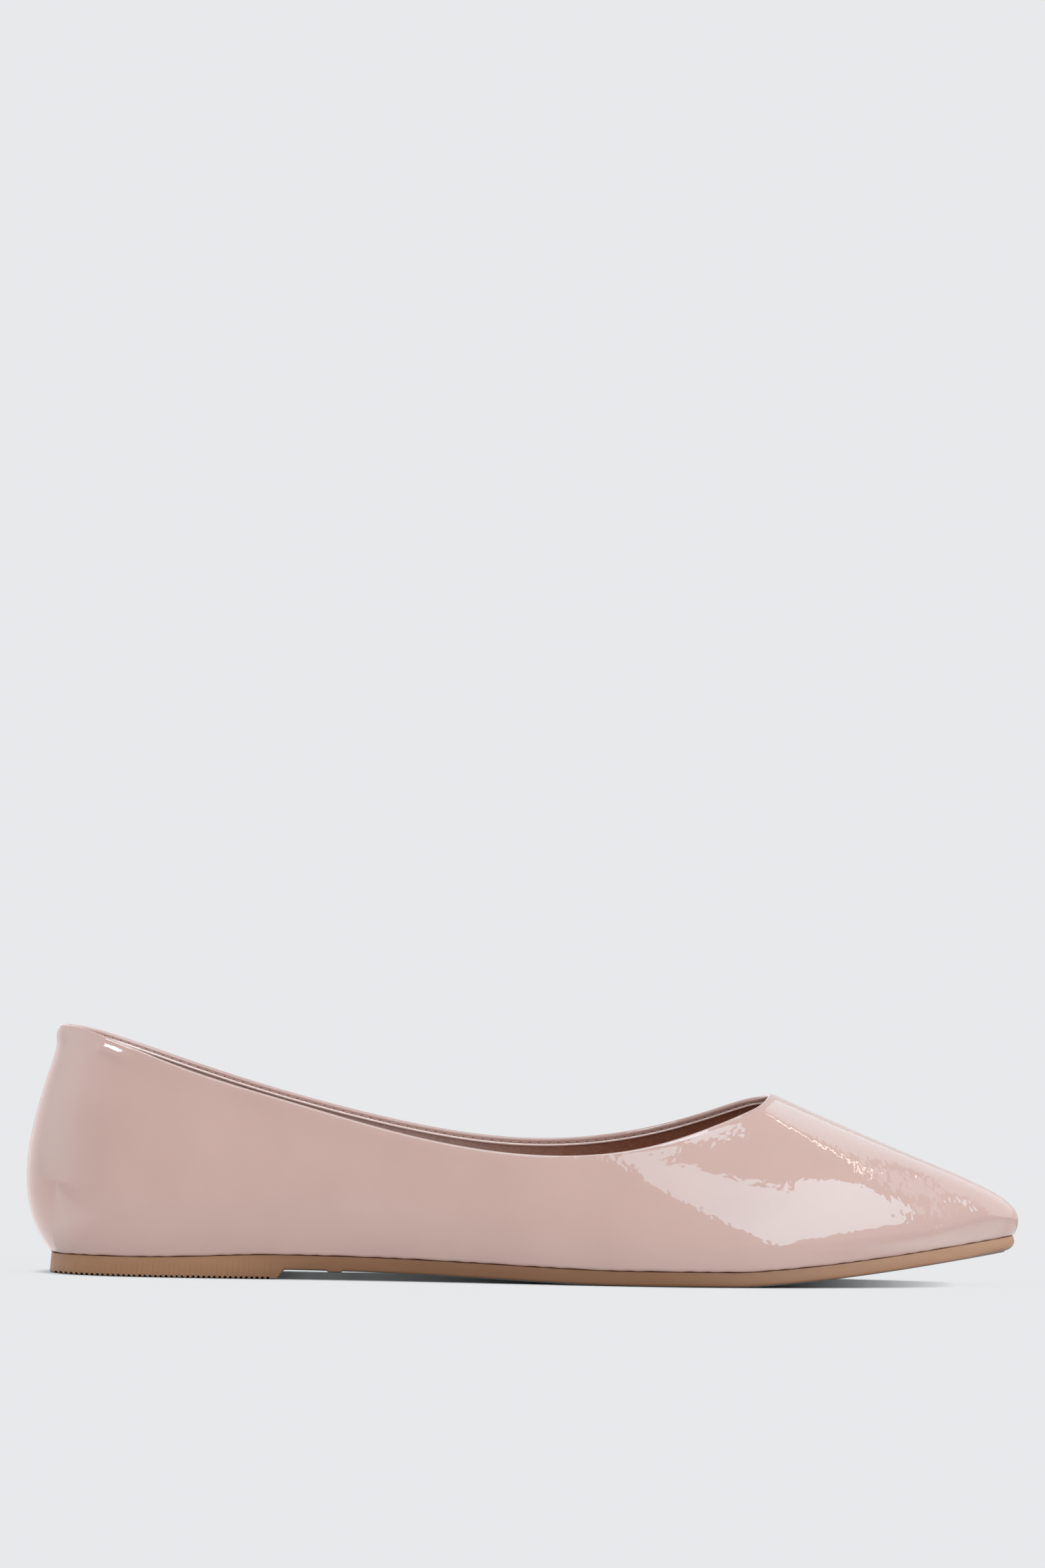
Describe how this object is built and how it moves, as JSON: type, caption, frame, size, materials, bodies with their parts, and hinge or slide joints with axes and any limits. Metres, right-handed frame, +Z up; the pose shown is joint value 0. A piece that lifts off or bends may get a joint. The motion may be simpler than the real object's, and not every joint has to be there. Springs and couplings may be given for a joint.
{
  "type": "pointed toe flat shoe",
  "caption": "Pointed toe flat shoe for a woman's right foot, in nude pink patent with a rounded throat, a padded insole and a thin tan moulded sole with a low ribbed heel.",
  "frame": {"origin": "on the floor, under the middle of the shoe's box", "axes": "+X runs from the heel to the toe, +Y to the inner side of the right foot, +Z up"},
  "size_m": [0.2558, 0.0786, 0.0639],
  "materials": {
    "upper": "nude pink patent, high gloss",
    "outsole": "tan moulded rubber, satin",
    "insole": "dusty taupe sock lining, matte"
  },
  "bodies": {
    "root": {"upper": "upper", "outsole": "outsole", "insole": "insole"}
  },
  "joints": []
}
